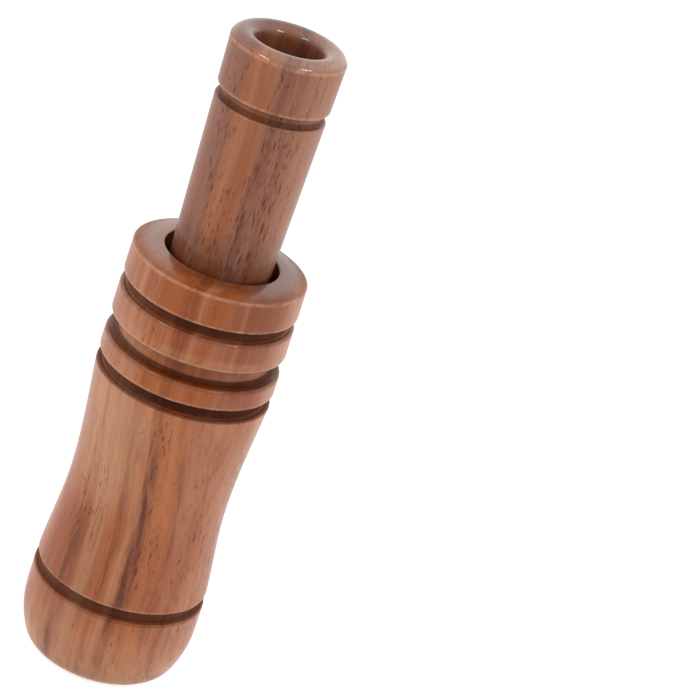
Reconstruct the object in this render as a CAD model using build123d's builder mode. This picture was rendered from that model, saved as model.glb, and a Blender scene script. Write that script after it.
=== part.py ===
"""A turned wooden bird call: a barrel that is blown into and an insert that carries the reeds.

Sizes are in millimetres. The call stands on its mouth end at Z = 0, with its axis along +Z.
The reeds face -Y, on a tone board that hangs from the insert into the barrel, and a level is a
distance from the axis towards them.
"""

import os

from build123d import *

# Barrel, outside, from the mouth end up
barrel_length = 93.6
end_face_radius = 11.9
end_round_radius = 16.2
end_round_height = 2.75
end_band_radius = 18.15
end_swell_height = 12.0
end_band_height = 16.0
waist_radius = 16.44
waist_height = 40.5
body_top_radius = 18.2
body_flare = 0.09
rim_radius = 17.95
rim_crown = 1.15
rim_edge = 0.35

# Turned grooves of the barrel, and the collars that they leave below the rim
end_groove_height = 17.8
end_groove_width = 2.5
end_groove_depth = 1.0
end_groove_corner = 0.25
rim_collar_height = 6.6
rim_groove_width = 2.5
middle_collar_height = 6.3
cord_groove_width = 4.2
cord_groove_depth = 2.4
lower_collar_height = 4.3
body_groove_width = 2.6
narrow_groove_depth = 1.8
collar_edge = 0.3
collar_shoulder = 0.65

# Barrel, inside
mouth_radius = 8.0
mouth_length = 20.0
mouth_lip = 0.8
chamber_radius = 9.0
recess_depth = 8.0
recess_lip = 0.3

# Insert: a stem above the shoulder, and a tenon below it
stem_length = 55.15
shoulder_width = 1.15
stem_recess_gap = 1.65
stem_top_radius = 11.25
stem_groove_width = 2.3
stem_groove_depth = 1.0
stem_groove_edge = 0.4
band_height = 11.75
band_foot_radius = 11.42
band_top_radius = 11.7
band_crown = 1.7
band_edge = 0.25
exhaust_radius = 6.6
exhaust_lip = 2.5
exhaust_lip_flat = 0.2
exhaust_cone_length = 3.0
tenon_length = 24.0
tenon_clearance = 0.15
tenon_chamfer = 0.6

# Rubber seal rings in the tenon's grooves
ring_thickness = 1.4
ring_clearance = 0.04
ring_side_clearance = 0.15
upper_ring_drop = 6.0
ring_spacing = 10.0

# Tone board
board_radius = 4.75
board_fit = 0.03
board_reach = 34.6
board_nose_chamfer = 1.0
deck_height = 0.35
facing_drop = 1.1
channel_width = 3.6
channel_depth = 3.2
channel_corner = 1.2
channel_end_wall = 6.0

# Reeds and the wedge that holds their tails
reed_thickness = 0.3
reed_side_gap = 0.25
reed_tip_width = 7.6
reed_tip_round = 1.8
reed_tail_gap = 0.2
lower_reed_setback = 1.4
upper_reed_setback = 2.9
upper_reed_lift = 0.5
dimple_radius = 0.8
dimple_from_tip = 5.0
dimple_gap = 0.05
dimple_taper = 25.0
wedge_length = 13.6
wedge_proud = 3.6
wedge_edge = 0.3

# Heights along the axis
shoulder_height = barrel_length - recess_depth
insert_top = shoulder_height + stem_length
tenon_end = shoulder_height - tenon_length
rim_edge_height = barrel_length - rim_crown
rim_groove_height = rim_edge_height - rim_collar_height - rim_groove_width
cord_groove_height = rim_groove_height - middle_collar_height - cord_groove_width
body_top = cord_groove_height - lower_collar_height - body_groove_width
board_tip = tenon_end - board_reach
clamp_height = tenon_end - wedge_proud
reed_step = clamp_height + wedge_length
reed_tail = reed_step - reed_tail_gap

# Radii, lengths and levels that follow from the fits
stem_foot_radius = chamber_radius + shoulder_width
recess_radius = stem_foot_radius + stem_recess_gap
tenon_radius = chamber_radius - tenon_clearance
socket_radius = board_radius + board_fit
ring_outer_radius = chamber_radius - ring_clearance
ring_centre_radius = ring_outer_radius - ring_thickness / 2
ring_groove_radius = ring_outer_radius - ring_thickness - ring_clearance
ring_groove_width = ring_thickness + 2 * ring_side_clearance
reed_tail_width = 2 * (board_radius - reed_side_gap)
lower_reed_length = reed_tail - board_tip - lower_reed_setback
upper_reed_length = reed_tail - board_tip - upper_reed_setback
upper_reed_level = deck_height + reed_thickness
wedge_level = upper_reed_level + reed_thickness
ring_heights = [shoulder_height - upper_ring_drop - step * ring_spacing for step in (0, 1)]

# The call seen from its side, with the reeds to the right
side_plane = Plane(origin=(0, 0, 0), x_dir=(0, -1, 0), z_dir=(-1, 0, 0))


def corners(sketch, points):
    """The corners of a half-section that lie nearest to the given (radius, height) points."""
    return [sketch.vertices().sort_by_distance((r, z, 0))[0] for r, z in points]


def round_floor(width, depth):
    """The corner radius of a groove whose floor is a round hollow."""
    return min(0.36 * width, 0.6 * depth)


def collar_surface(height):
    """The barrel's outer radius at a height between the top of its body and its rim's edge."""
    share = (height - body_top) / (rim_edge_height - body_top)
    return body_top_radius + share * (rim_radius - body_top_radius)


def lower_waist_surface(height):
    """The barrel's outer radius at a height between its end band and its waist."""
    share = (height - end_band_height) / (waist_height - end_band_height)
    return end_band_radius + share * share * (3 - 2 * share) * (waist_radius - end_band_radius)


def cut_groove(sketch, surface, height, width, depth, corner, lower_lip, upper_lip):
    """Cuts a groove with rounded lips, from the given height up, into the outside of a half-section."""
    top = height + width
    with Locations((surface(height + width / 2), height + width / 2)):
        RectangleRounded(2 * depth, width, corner, mode=Mode.SUBTRACT)
    for lip_height, lip in ((height, lower_lip), (top, upper_lip)):
        wall = 0.75 * (depth - corner)
        fillet(corners(sketch, [(surface(lip_height), lip_height)]), min(lip, wall))


def cut_bore(radius, bottom, top):
    """Cuts a round bore between two heights into a half-section."""
    with Locations((0, (bottom + top) / 2)):
        Rectangle(2 * radius, top - bottom, mode=Mode.SUBTRACT)


def cross_plane(height):
    """The plane of a cross-section at a height, with the reeds towards its own +Y."""
    return Plane(origin=(0, 0, height), x_dir=(-1, 0, 0), z_dir=(0, 0, 1))


def reed_plane(level):
    """The plane that a reed's lower face lies in, with its own +Y from the tail to the tip."""
    return Plane(origin=(0, -level, reed_tail), x_dir=(-1, 0, 0), z_dir=(0, -1, 0))


def reed_outline(length):
    """A reed seen from above: straight sides that taper from the tail to the tip."""
    Polygon(
        (-reed_tail_width / 2, 0),
        (reed_tail_width / 2, 0),
        (reed_tip_width / 2, length),
        (-reed_tip_width / 2, length),
        align=None,
    )


# Barrel: one turning, with a rounded mouth end, a waist and three collars below a crowned rim
with BuildPart() as barrel:
    with BuildSketch(Plane.XZ) as barrel_section:
        with BuildLine():
            end_face = Line((0, 0), (end_face_radius, 0))
            end_round = TangentArc(end_face @ 1, (end_round_radius, end_round_height), tangent=(1, 0))
            end_swell = TangentArc(
                end_round @ 1, (end_band_radius, end_swell_height), tangent=end_round % 1
            )
            end_band = Line(end_swell @ 1, (end_band_radius, end_band_height))
            lower_third = (waist_height - end_band_height) / 3
            lower_waist = Bezier(
                end_band @ 1,
                (end_band_radius, end_band_height + lower_third),
                (waist_radius, waist_height - lower_third),
                (waist_radius, waist_height),
            )
            upper_third = (body_top - waist_height) / 3
            upper_waist = Bezier(
                lower_waist @ 1,
                (waist_radius, waist_height + upper_third),
                (body_top_radius - body_flare * upper_third, body_top - upper_third),
                (body_top_radius, body_top),
            )
            collars = Line(upper_waist @ 1, (rim_radius, rim_edge_height))
            crown = TangentArc((recess_radius, barrel_length), collars @ 1, tangent=(1, 0))
            Polyline(crown @ 0, (0, barrel_length), (0, 0))
        make_face()
        cut_bore(mouth_radius, 0, mouth_length)
        cut_bore(chamber_radius, mouth_length, shoulder_height)
        cut_bore(recess_radius, shoulder_height, barrel_length)
        cut_groove(
            barrel_section,
            lower_waist_surface,
            end_groove_height,
            end_groove_width,
            end_groove_depth,
            end_groove_corner,
            collar_edge,
            collar_edge,
        )
        for height, width, depth in (
            (body_top, body_groove_width, narrow_groove_depth),
            (cord_groove_height, cord_groove_width, cord_groove_depth),
            (rim_groove_height, rim_groove_width, narrow_groove_depth),
        ):
            cut_groove(
                barrel_section,
                collar_surface,
                height,
                width,
                depth,
                round_floor(width, depth),
                collar_shoulder,
                collar_edge,
            )
        fillet(corners(barrel_section, [(rim_radius, rim_edge_height)]), rim_edge)
        fillet(corners(barrel_section, [(recess_radius, barrel_length)]), recess_lip)
        fillet(corners(barrel_section, [(mouth_radius, 0)]), mouth_lip)
    revolve(axis=Axis.Z)

# Insert: one turning, with a tapered stem and a banded top, whose tenon plugs into the barrel
with BuildPart() as insert:
    band_foot = insert_top - band_height
    band_edge_height = insert_top - band_crown
    stem_top = band_foot - stem_groove_width
    stem_groove_radius = stem_top_radius - stem_groove_depth
    with BuildSketch(Plane.XZ) as insert_section:
        with BuildLine():
            outside = Polyline(
                (0, tenon_end),
                (tenon_radius, tenon_end),
                (tenon_radius, shoulder_height),
                (stem_foot_radius, shoulder_height),
                (stem_top_radius, stem_top),
                (stem_groove_radius, stem_top),
                (stem_groove_radius, band_foot),
                (band_foot_radius, band_foot),
                (band_top_radius, band_edge_height),
            )
            crown_start = (exhaust_radius + exhaust_lip + exhaust_lip_flat, insert_top)
            crown = TangentArc(crown_start, outside @ 1, tangent=(1, 0))
            Polyline(crown @ 0, (0, insert_top), (0, tenon_end))
        make_face()
        cut_bore(socket_radius, tenon_end, shoulder_height)
        with BuildLine():
            cone_top = shoulder_height + exhaust_cone_length
            Polyline(
                (0, shoulder_height),
                (socket_radius, shoulder_height),
                (exhaust_radius, cone_top),
                (0, cone_top),
                close=True,
            )
        make_face(mode=Mode.SUBTRACT)
        cut_bore(exhaust_radius, cone_top, insert_top)
        for height in ring_heights:
            with Locations((tenon_radius, height)):
                Rectangle(2 * (tenon_radius - ring_groove_radius), ring_groove_width, mode=Mode.SUBTRACT)
        lips = [(stem_top_radius, stem_top), (band_foot_radius, band_foot)]
        floor = [(stem_groove_radius, stem_top), (stem_groove_radius, band_foot)]
        groove_round = min(stem_groove_edge, 0.45 * stem_groove_depth)
        fillet(corners(insert_section, lips + floor), groove_round)
        fillet(corners(insert_section, [(band_top_radius, band_edge_height)]), band_edge)
        fillet(corners(insert_section, [(exhaust_radius, insert_top)]), exhaust_lip)
        chamfer(corners(insert_section, [(tenon_radius, tenon_end)]), tenon_chamfer)
    revolve(axis=Axis.Z)

# Tone board: a rod cut half away, with a deck that curves off to the tip and an air channel
with BuildPart() as tone_board:
    rod_plane = Plane(origin=(0, 0, board_tip), x_dir=(0, 1, 0), z_dir=(0, 0, 1))
    with BuildSketch(rod_plane):
        Circle(board_radius)
    extrude(amount=shoulder_height - board_tip)
    chamfer(tone_board.edges().group_by(Axis.Z)[0], board_nose_chamfer)
    with BuildSketch(side_plane):
        with BuildLine():
            deck = Line((deck_height, reed_step), (deck_height, clamp_height))
            facing = TangentArc(deck @ 1, (deck_height - facing_drop, board_tip), tangent=(0, -1))
            clear_of_rod = 2 * board_radius
            Polyline(
                facing @ 1,
                (deck_height - facing_drop, board_tip - clear_of_rod),
                (clear_of_rod, board_tip - clear_of_rod),
                (clear_of_rod, reed_step),
                deck @ 0,
            )
        make_face()
    extrude(amount=clear_of_rod, both=True, mode=Mode.SUBTRACT)
    channel_start = board_tip + channel_end_wall
    with BuildSketch(cross_plane(channel_start)) as channel:
        with Locations((0, deck_height)):
            Rectangle(channel_width, channel_depth, align=(Align.CENTER, Align.MAX))
        fillet(channel.vertices().group_by(Axis.Y)[0], channel_corner)
    extrude(amount=shoulder_height - channel_start, mode=Mode.SUBTRACT)

# Lower reed: a flat strip on the deck, from under the wedge to just short of the board's tip
with BuildPart() as lower_reed:
    with BuildSketch(reed_plane(deck_height)) as lower_outline:
        reed_outline(lower_reed_length)
        fillet(lower_outline.vertices().group_by(Axis.Y)[-1], reed_tip_round)
    extrude(amount=reed_thickness)

# Upper reed: a shorter strip that rises from the clamp line, and a dimple that holds it off
with BuildPart() as upper_reed:
    upper_tip = reed_tail - upper_reed_length
    lifted_level = upper_reed_level + upper_reed_lift
    with BuildSketch(reed_plane(upper_reed_level)) as upper_outline:
        reed_outline(upper_reed_length)
        fillet(upper_outline.vertices().group_by(Axis.Y)[-1], reed_tip_round)
    extrude(amount=upper_reed_lift + 2 * reed_thickness)
    with BuildSketch(side_plane):
        with BuildLine():
            Polyline(
                (upper_reed_level, reed_tail),
                (upper_reed_level, clamp_height),
                (lifted_level, upper_tip),
                (lifted_level + reed_thickness, upper_tip),
                (wedge_level, clamp_height),
                (wedge_level, reed_tail),
                close=True,
            )
        make_face()
    extrude(amount=reed_tail_width, both=True, mode=Mode.INTERSECT)
    dimple_height = upper_tip + dimple_from_tip
    dimple_rise = upper_reed_lift * (clamp_height - dimple_height) / (clamp_height - upper_tip)
    dimple_level = upper_reed_level + dimple_rise + reed_thickness / 2
    with BuildSketch(Plane((0, -dimple_level, dimple_height), x_dir=(1, 0, 0), z_dir=(0, 1, 0))):
        Circle(dimple_radius)
    extrude(amount=dimple_rise + reed_thickness / 2 - dimple_gap, taper=dimple_taper)

# Wedge: a half-round cork plug above the reed tails, proud of the tenon so that it can be drawn
with BuildPart() as wedge:
    with BuildSketch(cross_plane(clamp_height)):
        Circle(board_radius)
        with Locations((0, wedge_level)):
            Rectangle(
                2 * board_radius, 2 * board_radius, align=(Align.CENTER, Align.MAX), mode=Mode.SUBTRACT
            )
    extrude(amount=wedge_length)
    chamfer(wedge.edges().group_by(Axis.Z)[0].filter_by(GeomType.CIRCLE), wedge_edge)


def seal_ring(height):
    """A round rubber ring at a height on the tenon."""
    with BuildPart() as ring:
        with BuildSketch(Plane.XZ):
            with Locations((ring_centre_radius, height)):
                Circle(ring_thickness / 2)
        revolve(axis=Axis.Z)
    return ring


upper_seal_ring, lower_seal_ring = [seal_ring(height) for height in ring_heights]

pieces = {
    "barrel": barrel,
    "insert": insert,
    "tone_board": tone_board,
    "lower_reed": lower_reed,
    "upper_reed": upper_reed,
    "wedge": wedge,
    "upper_seal_ring": upper_seal_ring,
    "lower_seal_ring": lower_seal_ring,
}
os.makedirs("parts", exist_ok=True)
for name, piece in pieces.items():
    piece.part.label = name
    export_step(piece.part, f"parts/{name}.step")
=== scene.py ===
import math

import bmesh
import bpy
from mathutils import Matrix, Vector, noise


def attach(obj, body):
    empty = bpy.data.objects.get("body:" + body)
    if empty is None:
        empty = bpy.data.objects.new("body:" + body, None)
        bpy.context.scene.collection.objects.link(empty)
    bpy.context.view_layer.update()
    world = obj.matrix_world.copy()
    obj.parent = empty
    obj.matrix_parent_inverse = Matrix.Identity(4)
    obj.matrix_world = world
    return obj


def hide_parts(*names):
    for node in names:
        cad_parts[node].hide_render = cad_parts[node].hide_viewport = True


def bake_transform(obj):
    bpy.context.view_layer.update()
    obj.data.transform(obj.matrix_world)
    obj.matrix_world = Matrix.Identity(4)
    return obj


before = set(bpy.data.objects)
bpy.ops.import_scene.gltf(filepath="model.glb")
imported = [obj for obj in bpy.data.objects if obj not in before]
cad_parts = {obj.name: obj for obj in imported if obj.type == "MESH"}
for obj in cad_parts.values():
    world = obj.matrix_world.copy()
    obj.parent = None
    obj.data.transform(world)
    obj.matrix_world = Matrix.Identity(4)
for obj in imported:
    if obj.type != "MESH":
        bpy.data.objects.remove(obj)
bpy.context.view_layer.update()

# Barrel: the wide wooden turning that is blown into, cut on a lathe from one walnut blank.
# The grain runs along its axis, its grooves are scorched dark and deepened with painted shade, and
# a satin lacquer covers it.
MM = 0.001


class Flow:
    """A value on its way between a finish's nodes. Arithmetic on it adds Math nodes."""

    def __init__(self, tree, socket=None):
        self.tree = tree
        self.socket = socket

    def node(self, kind, settings, sockets, out=0):
        """Adds a node, sets it up, then fills its sockets with values or links."""
        made = self.tree.nodes.new("ShaderNode" + kind)
        for name, value in settings.items():
            setattr(made, name, value)
        for name, value in sockets.items():
            if isinstance(value, Flow):
                self.tree.links.new(value.socket, made.inputs[name])
            else:
                made.inputs[name].default_value = value
        return Flow(self.tree, made.outputs[out])

    def output(self, name):
        """Another output of the node that this value comes from."""
        return Flow(self.tree, self.socket.node.outputs[name])

    def into(self, socket):
        """Links the value to a socket of a shader."""
        self.tree.links.new(self.socket, socket)

    def math(self, operation, *values):
        return self.node("Math", {"operation": operation}, dict(enumerate(values)))

    def __add__(self, other):
        return self.math("ADD", self, other)

    def __sub__(self, other):
        return self.math("SUBTRACT", self, other)

    def __rsub__(self, other):
        return self.math("SUBTRACT", other, self)

    def __mul__(self, other):
        return self.math("MULTIPLY", self, other)

    def __truediv__(self, other):
        return self.math("DIVIDE", self, other)

    def __pow__(self, other):
        return self.math("POWER", self, other)

    __radd__ = __add__
    __rmul__ = __mul__

    def step(self, low, high):
        """0 below low, 1 above high and smooth between them; low above high turns it round."""
        settings = {"interpolation_type": "SMOOTHSTEP"}
        return self.node("MapRange", settings, {"Value": self, "From Min": low, "From Max": high})

    def between(self, low, high, soft):
        """1 from low to high, falling smoothly to 0 over soft beyond them."""
        return self.step(low - soft, low) * self.step(high + soft, high)

    def most(self, other):
        return self.math("MAXIMUM", self, other)

    def vector(self, x, y, z):
        return self.node("CombineXYZ", {}, {0: x, 1: y, 2: z})

    def scaled(self, factor):
        """The vector that this value is, made longer by a factor."""
        return self.node("VectorMath", {"operation": "SCALE"}, {0: self, "Scale": factor})

    def noise(self, place, detail=2.0, roughness=0.5):
        """Cloudy values about 0.5, one cloud to each unit of place."""
        sockets = {"Vector": place, "Scale": 1.0, "Detail": detail, "Roughness": roughness}
        return self.node("TexNoise", {}, sockets)

    def cells(self, place, feature="F1"):
        """Distance to the nearest of points strewn one to each unit of place."""
        return self.node("TexVoronoi", {"feature": feature}, {"Vector": place, "Scale": 1.0})

    def mix(self, share, first, second):
        """The first colour, turned into the second by a share."""
        return self.node("Mix", {"data_type": "RGBA"}, {"Factor": share, 6: first, 7: second}, 2)


def colour(red, green, blue):
    """A paint colour, given as it looks on a screen, as the light that it sends back."""
    linear = [((c / 255 + 0.055) / 1.055) ** 2.4 for c in (red, green, blue)]
    return (*linear, 1.0)


def new_finish(name):
    """A new material, the shader in it and the X in millimetres of the point being painted."""
    material = bpy.data.materials.new(name)
    material.use_nodes = True
    shader = material.node_tree.nodes["Principled BSDF"]
    place = Flow(material.node_tree).node("TexCoord", {}, {}, "Object").scaled(1 / MM)
    return material, shader, place.node("SeparateXYZ", {}, {0: place})


def add_bump(shader, height, strength, depth):
    """Lets a pattern's height, up to a depth in millimetres, catch the light."""
    sockets = {"Strength": strength, "Distance": depth * MM, "Height": height}
    height.node("Bump", {}, sockets).into(shader.inputs["Normal"])


def strongest(masks):
    """The strongest of several masks at each point."""
    mask, *others = masks
    for other in others:
        mask = mask.most(other)
    return mask


RED_WOOD = colour(141, 70, 33)
PURPLE_WOOD = colour(104, 53, 38)
PORE = colour(74, 34, 18)
SCORCH_AND_SHADE = colour(66, 25, 5)
PAINTED_HIGHLIGHT = colour(226, 176, 146)

# Three sizes of pore: how many to a millimetre across and along, their reach and their strength.
PORE_SIZES = ((0.95, 0.20, 0.30, 1.0), (1.5, 0.28, 0.38, 0.8), (2.4, 0.42, 0.44, 0.8))
LONE_PORE = 0.25
PORE_CORE = 0.35
LEAST_SCORCH_AND_SHADE = 0.86
EDGE_HALF = 0.1
EDGE_SOFT = 0.5
SATIN = 0.36
THIN_LACQUER = 0.24
THICK_LACQUER = 0.97


def walnut(
    name, woods, skin, drift, tints, streaks, pore_zones,
    scorched_and_shaded, edges, glossy, bore, end_face, end_shade,
):
    """Lacquered walnut, its layers standing across X and its fibres running along Z.

    Lengths are in millimetres, and a layer is known by its X at the front of the turning.
    woods: the plain, the tan and the pale colour. skin: the radius of the turning.
    drift: how far the layers lean sideways, over which height and about which.
    tints: a colour, the layers and the heights that take it, how softly it ends, its strength.
    streaks: a dark layer, its width to the sharp and the soft side, its strength, its heights.
    pore_zones: the layers and the heights where open pores crowd.
    scorched_and_shaded: the heights that are darkened, by burning and by painted shade, how softly
    that ends, the radius that it stays below, the depth over which it grows, its strength.
    edges: the height and the radius of an edge that gets a pale line of painted highlight.
    glossy: the heights of an edge that the lacquer lies thick on in places.
    bore: the radius of the hole, which is left duller and darker, partly as painted shade.
    end_face: the height where the end grain starts, which has thick lacquer.
    end_shade: painted shade across the end grain: the direction in X and Y that it is measured
    along, where it starts and stops, how softly it ends, its strength.
    """
    heartwood, tan_wood, pale_wood = woods
    material, shader, x = new_finish(name)
    y, z = x.output("Y"), x.output("Z")
    r = (x * x + y * y) ** 0.5

    def clouds(start, across, deep, along, detail, roughness=0.5):
        """Noise by its number of clouds to a millimetre, fewer along the fibres than across."""
        return x.noise(x.vector(start * across, y * deep, z * along), detail, roughness)

    lean, lean_height, lean_middle = drift
    sway_width = 2.0
    ring_curve = 0.010
    sway = clouds(x, 0.05, 0.05, 0.022, 2) - 0.5
    layer = x + x.math("TANH", (z - lean_middle) / lean_height) * lean + sway * sway_width
    layer = layer + (y * y - skin * skin) * ring_curve
    ragged = clouds(layer, 2.6, 1.2, 0.16, 4, 0.7)
    fibre = clouds(x, 5.0, 5.0, 0.16, 4, 0.65)
    wide = clouds(layer, 0.32, 0.10, 0.018, 2)
    middle = clouds(layer, 0.8, 0.3, 0.030, 4, 0.65)
    mottle = clouds(layer, 1.1, 0.9, 0.10, 3, 0.6)

    # The colours of the layers, broken up by wide, middling and small clouds.
    tint_wander = 3.0
    tint_stretch = 3.0
    tinted_layer = layer + (middle - 0.5) * tint_wander
    tint_patches = 0.6 + wide * 0.8
    wood = x.mix(wide.step(0.45, 0.8) * 0.5, heartwood, tan_wood)
    for tint, low, high, bottom, top, soft, strength in tints:
        here = tinted_layer.between(low, high, soft) * z.between(bottom, top, soft * tint_stretch)
        wood = x.mix(here * tint_patches * strength, wood, tint)
    for cloud, plain, full, share, shade in (
        (wide, 0.5, 0.28, 0.36, pale_wood),
        (wide, 0.5, 0.72, 0.3, RED_WOOD),
        (middle, 0.46, 0.76, 0.42, RED_WOOD),
        (middle, 0.46, 0.24, 0.08, pale_wood),
        (mottle, 0.5, 0.75, 0.42, RED_WOOD),
        (mottle, 0.5, 0.25, 0.14, pale_wood),
    ):
        wood = x.mix(cloud.step(plain, full) * share, wood, shade)

    # Dark streaks with ragged sides, then the fine fibres.
    streak_fade = 10.0
    ragged_wander = (ragged - 0.5) * 2.0
    mottle_wander = (mottle - 0.5) * 1.2
    streak_patches = 0.3 + mottle.step(0.3, 0.62) * 0.8
    for place, sharp, soft, strength, bottom, top in streaks:
        across = layer - place + ragged_wander + mottle_wander
        core = 0.1 * soft
        dark = across.step(-sharp, core) * across.step(soft, core)
        dark = dark * z.between(bottom, top, streak_fade) * streak_patches
        wood = x.mix(dark * strength, wood, PURPLE_WOOD)
    wood = x.mix(fibre.step(0.48, 0.74) * 0.18, wood, RED_WOOD)
    wood = x.mix(fibre.step(0.48, 0.24) * 0.1, wood, pale_wood)

    # Open pores: short dark dashes along the fibres, crowded in some layers.
    zone_side, zone_end, zone_strength = 2.0, 8.0, 0.6
    crowd = clouds(layer, 0.35, 0.35, 0.06, 2).step(0.42, 0.68) * 0.5
    for low, high, bottom, top in pore_zones:
        zone = layer.between(low, high, zone_side) * z.between(bottom, top, zone_end)
        crowd = crowd + zone * zone_strength
    crowding = LONE_PORE + crowd * (1 - LONE_PORE)
    pore_wander = sway * 4.0 + fibre * 0.8
    pore_shift = middle * 2.0
    holes = []
    for across, along, largest, strength in PORE_SIZES:
        slip = pore_wander * across
        cell = x.cells(x.vector(x * across + slip, y * across, z * along + pore_shift))
        chance = x.node("SeparateColor", {}, {0: cell.output("Color")})
        reach = chance.step(1.0, 0.2) * largest * crowding
        holes.append(cell.step(reach, reach * PORE_CORE) * strength)
    pores = strongest(holes)
    wood = x.mix(pores * 0.66, wood, PORE)

    # Grooves burnt dark and deepened with painted shade, a little less at the left; pale lines of
    # painted highlight on edges; the bore duller and darker, partly as painted shade.
    scorch_and_shade = strongest([
        z.between(low, high, soft) * r.step(outside, outside - depth) * strength
        for low, high, soft, outside, depth, strength in scorched_and_shaded
    ])
    scorch_and_shade = scorch_and_shade * (LEAST_SCORCH_AND_SHADE + x.step(-14.0, 2.0) * (1 - LEAST_SCORCH_AND_SHADE))
    wood = x.mix(scorch_and_shade * (0.86 + middle * 0.3), wood, SCORCH_AND_SHADE)
    edge_highlight = strongest([
        z.between(height - EDGE_HALF, height + EDGE_HALF, EDGE_SOFT)
        * r.step(outside - 0.6, outside - 0.1)
        for height, outside in edges
    ])
    edge_patches = middle.step(0.35, 0.7)
    wood = x.mix(edge_highlight * (0.1 + edge_patches * 0.36), wood, PAINTED_HIGHLIGHT)
    inside = r.step(bore + 0.9, bore + 0.05)
    wood = x.mix(inside * 0.36, wood, SCORCH_AND_SHADE)
    # Painted shade across the end grain, measured along a given direction.
    along_x, along_y, low, high, soft, strength = end_shade
    end_shaded = (layer * along_x + y * along_y).between(low, high, soft)
    end_shaded = end_shaded * z.step(end_face - 0.6, end_face - 0.1)
    wood = x.mix(end_shaded * strength, wood, SCORCH_AND_SHADE)
    wood.into(shader.inputs["Base Color"])

    # Satin lacquer over the wood, thinner in the grooves and pores and thick on the end grain.
    raw = scorch_and_shade.most(inside)
    (SATIN + pores * 0.2 + (fibre - 0.5) * 0.12 + raw * 0.2).into(shader.inputs["Roughness"])
    add_bump(shader, fibre * 0.12 - pores, 0.22, 0.06)
    sealed = z.step(end_face - 0.9, end_face - 0.2)
    for low, high in glossy:
        sealed = sealed.most(z.between(low, high, 0.15) * (0.1 + edge_patches * 0.6))
    coat = THIN_LACQUER - scorch_and_shade * 0.2 - pores * 0.21
    (coat + (THICK_LACQUER - coat) * sealed).into(shader.inputs["Coat Weight"])
    shader.inputs["Specular IOR Level"].default_value = 0.08
    shader.inputs["Coat Roughness"].default_value = 0.13
    shader.inputs["Coat IOR"].default_value = 1.65
    return material


BARREL_PLAIN = colour(180, 117, 86)
BARREL_TAN = colour(190, 114, 68)
BARREL_PALE = colour(202, 148, 112)
BARREL_RED = colour(141, 64, 20)
BARREL_AMBER = colour(166, 84, 24)
barrel_wood = walnut(
    "walnut_barrel",
    woods=(BARREL_PLAIN, BARREL_TAN, BARREL_PALE),
    skin=17.3,
    drift=(2.3, 16.0, 48.0),
    tints=[
        # The tan front, the left of the waist paler as painted light, and the pale mouth end.
        (BARREL_TAN, -6.0, 5.0, -20.0, 110.0, 3.0, 0.8),
        (BARREL_PALE, -14.0, -4.0, 50.0, 60.0, 5.0, 0.7),
        (BARREL_PALE, -20.0, 20.0, -20.0, 10.0, 2.0, 0.35),
        (BARREL_PALE, -20.0, 20.0, -20.0, 4.0, 2.0, 0.65),
        # The rim and the collars, redder on the whole.
        (BARREL_RED, -16.0, 15.0, 86.0, 110.0, 2.5, 0.3),
        (BARREL_RED, -1.0, 13.0, 74.0, 110.0, 2.5, 0.5),
        (BARREL_RED, -1.0, 1.4, 74.0, 110.0, 0.9, 0.6),
        (PURPLE_WOOD, 9.0, 16.0, 88.0, 92.0, 1.0, 0.16),
        (BARREL_RED, -14.0, 18.0, 69.2, 72.4, 0.5, 0.28),
        (PURPLE_WOOD, 11.0, 14.5, 70.0, 110.0, 2.0, 0.3),
        (BARREL_PALE, -16.0, 15.0, 77.0, 78.6, 0.4, 0.3),
        (BARREL_AMBER, -9.0, 7.0, 88.0, 110.0, 1.0, 0.45),
        (BARREL_AMBER, -4.0, 9.0, 69.0, 73.0, 1.0, 0.5),
        # The redder foot of the body.
        (RED_WOOD, -18.0, 6.0, 22.0, 32.0, 4.0, 0.35),
        (RED_WOOD, -18.0, -8.0, 22.0, 30.0, 4.0, 0.35),
    ],
    streaks=[
        (0.2, 1.1, 2.6, 0.9, 24.0, 52.0),
        (-1.0, 1.1, 2.6, 0.45, 9.0, 12.0),
        (0.0, 0.8, 2.8, 0.35, 50.0, 110.0),
        (-0.5, 1.2, 2.6, 0.95, 20.0, 38.0),
        (-4.5, 0.6, 1.5, 0.6, 24.0, 44.0),
        (-4.5, 0.6, 1.5, 0.28, -20.0, 12.0),
        (-13.2, 1.5, 3.0, 0.7, -20.0, 8.0),
        (-14.0, 1.5, 3.6, 0.75, 24.0, 30.0),
        (6.0, 0.6, 1.5, 0.35, 18.0, 52.0),
        (8.6, 0.6, 1.5, 0.3, -10.0, 40.0),
    ],
    pore_zones=[(-16.0, -10.0, 34.0, 44.0), (1.0, 3.0, 26.0, 62.0), (9.0, 15.0, 16.0, 54.0)],
    scorched_and_shaded=[
        # The grooves from the mouth end up, burnt dark and deepened with painted shade; the widest
        # has two rows and is darkest at its foot.
        (17.9, 20.2, 0.25, 17.85, 0.3, 0.85),
        (66.2, 68.4, 0.25, 17.9, 0.5, 1.0),
        (73.1, 73.7, 0.7, 17.9, 0.6, 0.95),
        (73.2, 76.8, 0.25, 17.9, 0.6, 0.2),
        (83.6, 85.7, 0.25, 17.8, 0.5, 0.92),
        # Painted shadow on the rounded shoulder below each groove.
        (17.4, 17.9, 0.4, 18.6, 0.3, 0.35),
        (65.75, 66.2, 0.35, 18.6, 0.3, 0.7),
        (72.4, 73.2, 0.4, 18.6, 0.3, 0.35),
        (82.9, 83.6, 0.4, 18.6, 0.3, 0.35),
    ],
    # Pale lines of painted highlight along these edges.
    edges=[(20.4, 17.9), (68.7, 18.2), (77.2, 18.1), (86.0, 18.0), (92.4, 17.9)],
    glossy=[(72.3, 72.8), (82.8, 83.3)],
    bore=9.0,
    end_face=93.6,
    # Painted shade darkens the rim top across its middle layers.
    end_shade=(1.0, 0.0, -6.0, 9.0, 5.0, 0.4),
)
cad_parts["barrel"].data.materials[0] = barrel_wood

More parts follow.
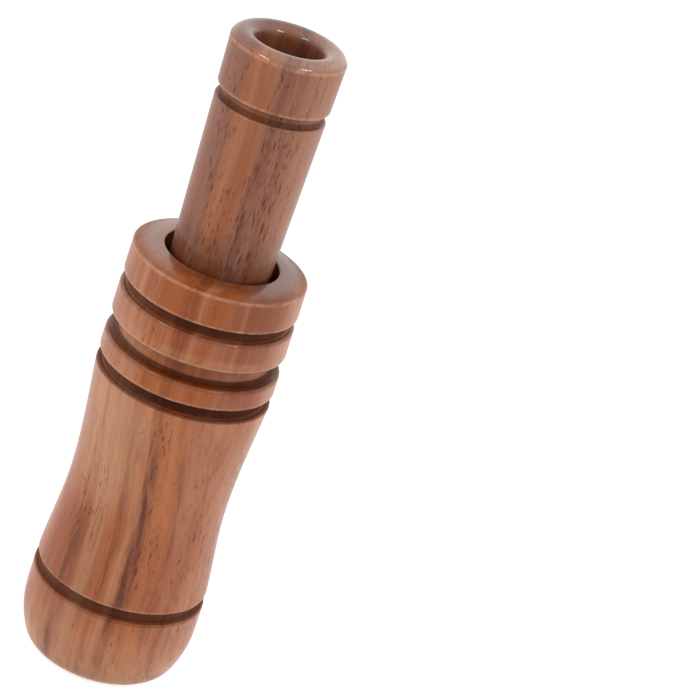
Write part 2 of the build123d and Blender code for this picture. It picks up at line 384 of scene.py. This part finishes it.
# Insert: the slim turning that plugs into the barrel and lets the sound out at its top.
# It comes from another walnut blank, with a tan layer up its front and more open pores.
INSERT_PLAIN = colour(150, 99, 79)
INSERT_TAN = colour(177, 111, 72)
INSERT_PALE = colour(172, 122, 96)
INSERT_DARK = colour(124, 78, 61)
insert_wood = walnut(
    "walnut_insert",
    woods=(INSERT_PLAIN, INSERT_TAN, INSERT_PALE),
    skin=11.0,
    drift=(0.5, 20.0, 115.0),
    tints=[
        # The tan layer, the dark left and the pale right of the stem.
        (INSERT_TAN, -4.6, -0.6, 60.0, 150.0, 2.0, 0.78),
        (RED_WOOD, -2.4, -0.4, 60.0, 150.0, 1.2, 0.3),
        (INSERT_DARK, -20.0, -8.0, 60.0, 150.0, 2.5, 0.5),
        (INSERT_PALE, 8.0, 14.0, 96.0, 150.0, 2.0, 0.6),
        # The foot in the recess darkened as painted shade, and the lip paler towards the right as a
        # painted highlight.
        (SCORCH_AND_SHADE, -20.0, 20.0, 80.0, 95.0, 3.5, 0.62),
        (PAINTED_HIGHLIGHT, -4.0, 20.0, 140.2, 150.0, 0.2, 0.2),
        (PAINTED_HIGHLIGHT, 4.0, 20.0, 140.2, 150.0, 0.3, 0.25),
    ],
    streaks=[
        (1.2, 0.6, 3.4, 0.5, 60.0, 150.0),
        (-6.6, 0.6, 1.6, 0.3, 60.0, 150.0),
        (4.6, 0.6, 1.8, 0.35, 60.0, 150.0),
    ],
    pore_zones=[
        (1.0, 7.5, 60.0, 150.0),
        (2.0, 5.5, 90.0, 126.0),
        (-8.5, -5.5, 60.0, 150.0),
        (-5.0, 0.0, 90.0, 112.0),
    ],
    # The stem's groove is darkened as painted shade, most in its lower half.
    scorched_and_shaded=[(126.8, 127.7, 0.4, 11.0, 0.7, 0.75), (127.0, 128.8, 0.3, 11.0, 0.7, 0.36)],
    # Pale lines of painted highlight along these edges.
    edges=[(129.3, 11.4), (139.0, 11.6)],
    glossy=[(126.45, 126.65)],
    bore=6.6,
    end_face=140.0,
    # Painted shade darkens the back of the lip.
    end_shade=(-0.26, 0.97, 8.2, 20.0, 2.2, 0.5),
)
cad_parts["insert"].data.materials[0] = insert_wood

# Seal rings: two round rubber rings in the tenon's grooves, which grip the barrel's bore.
# They are pressed in a mould, and a little of the wood's dust clings to the rubber.
RUBBER_BLACK = colour(30, 30, 31)
WOOD_DUST = colour(92, 84, 78)
rubber, rubber_shader, rubber_x = new_finish("ring_rubber")
rubber_place = rubber_x.vector(rubber_x, rubber_x.output("Y"), rubber_x.output("Z"))
rubber_fine = rubber_x.noise(rubber_place.scaled(9.0), 3)
rubber_dust = rubber_x.noise(rubber_place.scaled(0.7), 4)
rubber_colour = rubber_x.mix(rubber_dust.step(0.5, 0.85) * 0.4, RUBBER_BLACK, WOOD_DUST)
rubber_colour.into(rubber_shader.inputs["Base Color"])
(0.5 + rubber_dust * 0.25).into(rubber_shader.inputs["Roughness"])
add_bump(rubber_shader, rubber_fine, 0.35, 0.03)
for node in ("upper_seal_ring", "lower_seal_ring"):
    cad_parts[node].data.materials[0] = rubber

# Tone board: a moulded rod of black plastic, half of it cut away to a deck that the reeds beat on.
# It is pressed into the insert's socket, and rubbing has left pale marks along it.
BOARD_BLACK = colour(34, 34, 37)
BOARD_RUBBED = colour(92, 92, 96)
board, board_shader, board_x = new_finish("board_plastic")
board_y, board_z = board_x.output("Y"), board_x.output("Z")
board_grain = board_x.noise(board_x.vector(board_x, board_y, board_z).scaled(6.0), 3)
board_rubs = board_x.noise(board_x.vector(board_x * 5.0, board_y * 5.0, board_z * 0.25), 4, 0.7)
board_colour = board_x.mix(board_rubs.step(0.52, 0.82) * 0.3, BOARD_BLACK, BOARD_RUBBED)
board_colour.into(board_shader.inputs["Base Color"])
(0.26 + board_rubs.step(0.45, 0.8) * 0.3).into(board_shader.inputs["Roughness"])
add_bump(board_shader, board_grain + board_rubs * 0.5, 0.25, 0.03)
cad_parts["tone_board"].data.materials[0] = board

# Reeds: two strips cut from frosted polyester film, the upper one shorter, with a pressed dimple.
# Their tails are clamped by the wedge, and from there on they bend down on to the tone board.
CLAMP_LINE = 58.0 * MM
REED_TAIL = 71.4 * MM
TAIL_WIDTH = 9.0 * MM
TIP_WIDTH = 7.6 * MM
TIP_ROUND = 1.8 * MM
TIP_FACETS = 8
FILM = 0.3 * MM
REED_CUTS = 60
DIMPLE_CUTS = 8
DIMPLE_ROUND = 1.5
CREASE = math.radians(35)
SLICE_TOLERANCE = 1e-7


def add_piece(name, shape, material):
    """Makes a piece of a shape, smooth except along its creases."""
    mesh = bpy.data.meshes.new(name)
    shape.to_mesh(mesh)
    shape.free()
    mesh.shade_smooth()
    mesh.set_sharp_from_angle(angle=CREASE)
    mesh.materials.append(material)
    piece = bpy.data.objects.new(name, mesh)
    bpy.context.scene.collection.objects.link(piece)
    return piece


def slice_shape(shape, point, direction, **cut):
    """Cuts a shape through a point, square to a direction."""
    whole = shape.verts[:] + shape.edges[:] + shape.faces[:]
    bmesh.ops.bisect_plane(
        shape, geom=whole, dist=SLICE_TOLERANCE, plane_co=point, plane_no=direction, **cut
    )


def cut_reed(level, tip, lift, dimple):
    """A strip that rises by lift between the clamp line and its tip, with a dimple near the tip."""
    strip = bmesh.new()
    ends = ((-TAIL_WIDTH, REED_TAIL), (TAIL_WIDTH, REED_TAIL), (TIP_WIDTH, tip), (-TIP_WIDTH, tip))
    corners = [strip.verts.new((width / 2, -level, height)) for width, height in ends]
    strip.faces.new(corners)
    bmesh.ops.bevel(
        strip, geom=corners[2:], offset=TIP_ROUND, affect="VERTICES",
        segments=TIP_FACETS, profile=0.5, material=-1,
    )
    length = REED_TAIL - tip
    for cut in range(1, REED_CUTS):
        slice_shape(strip, (0, 0, tip + length * cut / REED_CUTS), (0, 0, 1))
    if dimple:
        middle, radius, depth = dimple
        for cut in range(-DIMPLE_CUTS, DIMPLE_CUTS + 1):
            slice_shape(strip, (radius * cut / DIMPLE_CUTS, 0, 0), (1, 0, 0))
            slice_shape(strip, (0, 0, middle + radius * cut / DIMPLE_CUTS), (0, 0, 1))
        for point in strip.verts:
            off = math.hypot(point.co.x, point.co.z - middle) / radius
            if off < 1:
                point.co.y += depth * (1 - off * off) ** DIMPLE_ROUND
    for point in strip.verts:
        if point.co.z < CLAMP_LINE:
            point.co.y -= lift * (CLAMP_LINE - point.co.z) / (CLAMP_LINE - tip)
    bmesh.ops.recalc_face_normals(strip, faces=strip.faces[:])
    if sum(face.normal.y for face in strip.faces) > 0:
        bmesh.ops.reverse_faces(strip, faces=strip.faces[:])
    bmesh.ops.solidify(strip, geom=strip.faces[:], thickness=-FILM)
    bmesh.ops.recalc_face_normals(strip, faces=strip.faces[:])
    return strip


FILM_WHITE = colour(222, 222, 216)
FILM_FROST = colour(236, 236, 231)
FILM_RUBBED = colour(196, 195, 186)
FILM_EDGE = colour(246, 247, 244)
film, film_shader, film_x = new_finish("reed_film")
film_y, film_z = film_x.output("Y"), film_x.output("Z")
film_frost = film_x.noise(film_x.vector(film_x, film_y, film_z).scaled(5.0), 3)
film_rubs = film_x.noise(film_x.vector(film_x * 4.0, film_y * 4.0, film_z * 0.2), 4, 0.7)
film_edge = film_x.math("ABSOLUTE", film_x).step(3.7, 4.3)
film_colour = film_x.mix(film_frost.step(0.3, 0.7), FILM_WHITE, FILM_FROST)
film_colour = film_x.mix(film_rubs.step(0.55, 0.8) * 0.35, film_colour, FILM_RUBBED)
film_colour = film_x.mix(film_edge * 0.3, film_colour, FILM_EDGE)
film_colour.into(film_shader.inputs["Base Color"])
(0.34 + film_rubs * 0.25).into(film_shader.inputs["Roughness"])
add_bump(film_shader, film_frost + film_rubs, 0.2, 0.02)

DECK = 0.35 * MM
DIMPLE = (34.9 * MM, 0.9 * MM, 0.36 * MM)
for body, level, tip, lift, dimple in (
    ("lower_reed", DECK, 28.4 * MM, 0.0, None),
    ("upper_reed", DECK + FILM, 29.9 * MM, 0.5 * MM, DIMPLE),
):
    reed = add_piece(body + "_film", cut_reed(level, tip, lift, dimple), film)
    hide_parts(body)
    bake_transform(reed)

# Wedge: a half-round plug of cork that is pushed in above the reed tails and holds them down.
# It is cut from natural cork, so its skin is pitted and its grains differ in colour.
WEDGE_RADIUS = 4.75 * MM
WEDGE_LEVEL = 0.95 * MM
WEDGE_LENGTH = 13.6 * MM
WEDGE_FACETS = 64
WEDGE_BEVEL = 0.3 * MM
BEVEL_FACETS = 3
RIM_ANGLE = 0.6
LENGTH_CUTS = 34
WIDTH_CUTS = 12
DEPTH_CUTS = 12
FIRST_DEPTH_CUT = 3
FLAT_MARGIN = 0.05 * MM
PIT_DEPTH = 0.16 * MM
COARSE_PITS = 900
FINE_PITS = 2100
wedge_shape = bmesh.new()
bmesh.ops.create_cone(
    wedge_shape, cap_ends=True, segments=WEDGE_FACETS,
    radius1=WEDGE_RADIUS, radius2=WEDGE_RADIUS, depth=WEDGE_LENGTH,
)
wedge_middle = (0, 0, CLAMP_LINE + WEDGE_LENGTH / 2)
bmesh.ops.translate(wedge_shape, verts=wedge_shape.verts[:], vec=wedge_middle)
slice_shape(wedge_shape, (0, -WEDGE_LEVEL, 0), (0, 1, 0), clear_outer=True)
bmesh.ops.holes_fill(wedge_shape, edges=[edge for edge in wedge_shape.edges if edge.is_boundary])
wedge_rims = [edge for edge in wedge_shape.edges if edge.calc_face_angle(0) > RIM_ANGLE]
bmesh.ops.bevel(
    wedge_shape, geom=wedge_rims, offset=WEDGE_BEVEL, affect="EDGES",
    segments=BEVEL_FACETS, profile=0.5, material=-1,
)
for cut in range(1, LENGTH_CUTS):
    slice_shape(wedge_shape, (0, 0, CLAMP_LINE + WEDGE_LENGTH * cut / LENGTH_CUTS), (0, 0, 1))
for cut in range(-WIDTH_CUTS, WIDTH_CUTS + 1):
    slice_shape(wedge_shape, (WEDGE_RADIUS * cut / (WIDTH_CUTS + 0.5), 0, 0), (1, 0, 0))
for cut in range(FIRST_DEPTH_CUT, DEPTH_CUTS):
    slice_shape(wedge_shape, (0, -WEDGE_RADIUS * cut / DEPTH_CUTS, 0), (0, 1, 0))
wedge_shape.normal_update()
for point in wedge_shape.verts:
    if point.co.y < -WEDGE_LEVEL - FLAT_MARGIN:
        rise = noise.noise(point.co * COARSE_PITS) + 0.5 * noise.noise(point.co * FINE_PITS)
        pit = max(0.0, rise)
        point.co -= point.normal * pit * PIT_DEPTH
bmesh.ops.recalc_face_normals(wedge_shape, faces=wedge_shape.faces[:])

CORK_DARK_GRAIN = colour(178, 128, 82)
CORK_PALE_GRAIN = colour(214, 168, 118)
CORK_SEAM = colour(126, 82, 48)
CORK_SPOT = colour(84, 50, 30)
cork, cork_shader, cork_x = new_finish("cork")
cork_place = cork_x.vector(cork_x, cork_x.output("Y"), cork_x.output("Z") * 0.7)
cork_grains = cork_x.cells(cork_place)
cork_chance = cork_x.node("SeparateColor", {}, {0: cork_grains.output("Color")})
cork_seams = cork_x.cells(cork_place, "DISTANCE_TO_EDGE").step(0.09, 0.0)
cork_spots = cork_x.noise(cork_place.scaled(2.2), 3)
cork_colour = cork_x.mix(cork_chance, CORK_DARK_GRAIN, CORK_PALE_GRAIN)
cork_colour = cork_x.mix(cork_seams * 0.5, cork_colour, CORK_SEAM)
cork_colour = cork_x.mix(cork_spots.step(0.58, 0.72) * 0.8, cork_colour, CORK_SPOT)
cork_colour.into(cork_shader.inputs["Base Color"])
(0.75 + cork_spots * 0.2).into(cork_shader.inputs["Roughness"])
add_bump(cork_shader, cork_spots * -1.0 - cork_seams * 0.5, 0.6, 0.08)
cork_shader.inputs["Specular IOR Level"].default_value = 0.2
wedge = add_piece("wedge_cork", wedge_shape, cork)
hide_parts("wedge")
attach(wedge, "insert")

# Floor: the plain pale ground that the call stands on, far wider than the picture.
# A glow that only the camera and reflections see makes it white, and it keeps the soft shadow.
FLOOR_REACH = 6.0
FLOOR_GREY = (0.75, 0.75, 0.75, 1.0)
FLOOR_GLOW = 0.7
BLACK = (0, 0, 0, 1)
WHITE = (1, 1, 1, 1)
floor_mesh = bpy.data.meshes.new("floor")
floor_shape = bmesh.new()
bmesh.ops.create_grid(floor_shape, x_segments=1, y_segments=1, size=FLOOR_REACH)
floor_shape.to_mesh(floor_mesh)
floor_shape.free()
floor = bpy.data.objects.new("floor", floor_mesh)
bpy.context.scene.collection.objects.link(floor)


def seen_directly(flow):
    """1 for what the camera sees, in a mirror or through glass too, and 0 for light."""
    rays = flow.node("LightPath", {}, {}, "Is Camera Ray")
    return rays.most(rays.output("Is Glossy Ray")).most(rays.output("Is Transmission Ray"))


floor_paint = bpy.data.materials.new("floor_paint")
floor_paint.use_nodes = True
floor_shader = floor_paint.node_tree.nodes["Principled BSDF"]
floor_shader.inputs["Base Color"].default_value = FLOOR_GREY
floor_shader.inputs["Roughness"].default_value = 1.0
floor_shader.inputs["Specular IOR Level"].default_value = 0.0
floor_shader.inputs["Emission Strength"].default_value = FLOOR_GLOW
floor_flow = Flow(floor_paint.node_tree)
floor_glow = floor_flow.mix(seen_directly(floor_flow), BLACK, WHITE)
floor_glow.into(floor_shader.inputs["Emission Color"])
floor_mesh.materials.append(floor_paint)

# Studio: an even white room, a broad low panel at each side and two small soft boxes in front.
# The wood mirrors the soft boxes but not the panels, so that no outline of a panel glares on it.
ROOM_LIGHT = 0.36
LAMP_DISTANCE = 0.8
LAMP_TARGET = Vector((0, 0, 75 * MM))
world = bpy.data.worlds.new("studio")
bpy.context.scene.world = world
world.use_nodes = True
room = world.node_tree.nodes["Background"]
room.inputs["Color"].default_value = WHITE
room_seen = seen_directly(Flow(world.node_tree))
(room_seen * (1 - ROOM_LIGHT) + ROOM_LIGHT).into(room.inputs["Strength"])

# Each lamp: degrees to the right of the front, degrees up, watts, metres wide and high.
for name, side, rise, watts, width, height, mirrored in (
    ("panel_left", -72, 12, 2.9, 0.50, 0.40, False),
    ("panel_right", 72, 12, 2.7, 0.50, 0.40, False),
    ("soft_box_left", -42, 42, 0.9, 0.26, 0.05, True),
    ("soft_box_right", 52, 42, 0.9, 0.26, 0.05, True),
):
    light = bpy.data.lights.new(name, "AREA")
    light.shape = "RECTANGLE"
    light.size = width
    light.size_y = height
    light.energy = watts
    lamp = bpy.data.objects.new(name, light)
    bpy.context.scene.collection.objects.link(lamp)
    turned, raised = math.radians(side), math.radians(rise)
    level_out = math.cos(raised)
    away = Vector((math.sin(turned) * level_out, -math.cos(turned) * level_out, math.sin(raised)))
    lamp.visible_glossy = mirrored
    lamp.location = LAMP_TARGET + away * LAMP_DISTANCE
    lamp.rotation_euler = away.to_track_quat("Z", "Y").to_euler()

# Camera: it looks down on the call from the front, from well back and through a long lens.
# It is turned so that the call leans right, and the call stands in the picture's left half.
camera_data = bpy.data.cameras.new("camera")
camera = bpy.data.objects.new("camera", camera_data)
bpy.context.scene.collection.objects.link(camera)
bpy.context.scene.camera = camera
camera_data.lens = 164.57
camera_data.sensor_width = 36.0
camera_data.clip_start = 0.01
camera_data.clip_end = 30.0
aim = Vector((29.83, 29.74, 70.14)) * MM
distance = 668.6 * MM
drop = math.radians(23.873)
turn = math.radians(18.961)
view = Matrix.Rotation(math.pi / 2 - drop, 4, "X") @ Matrix.Rotation(turn, 4, "Z")
camera.matrix_world = Matrix.Translation(aim) @ view @ Matrix.Translation((0, 0, distance))

bpy.context.scene.view_settings.view_transform = "Standard"
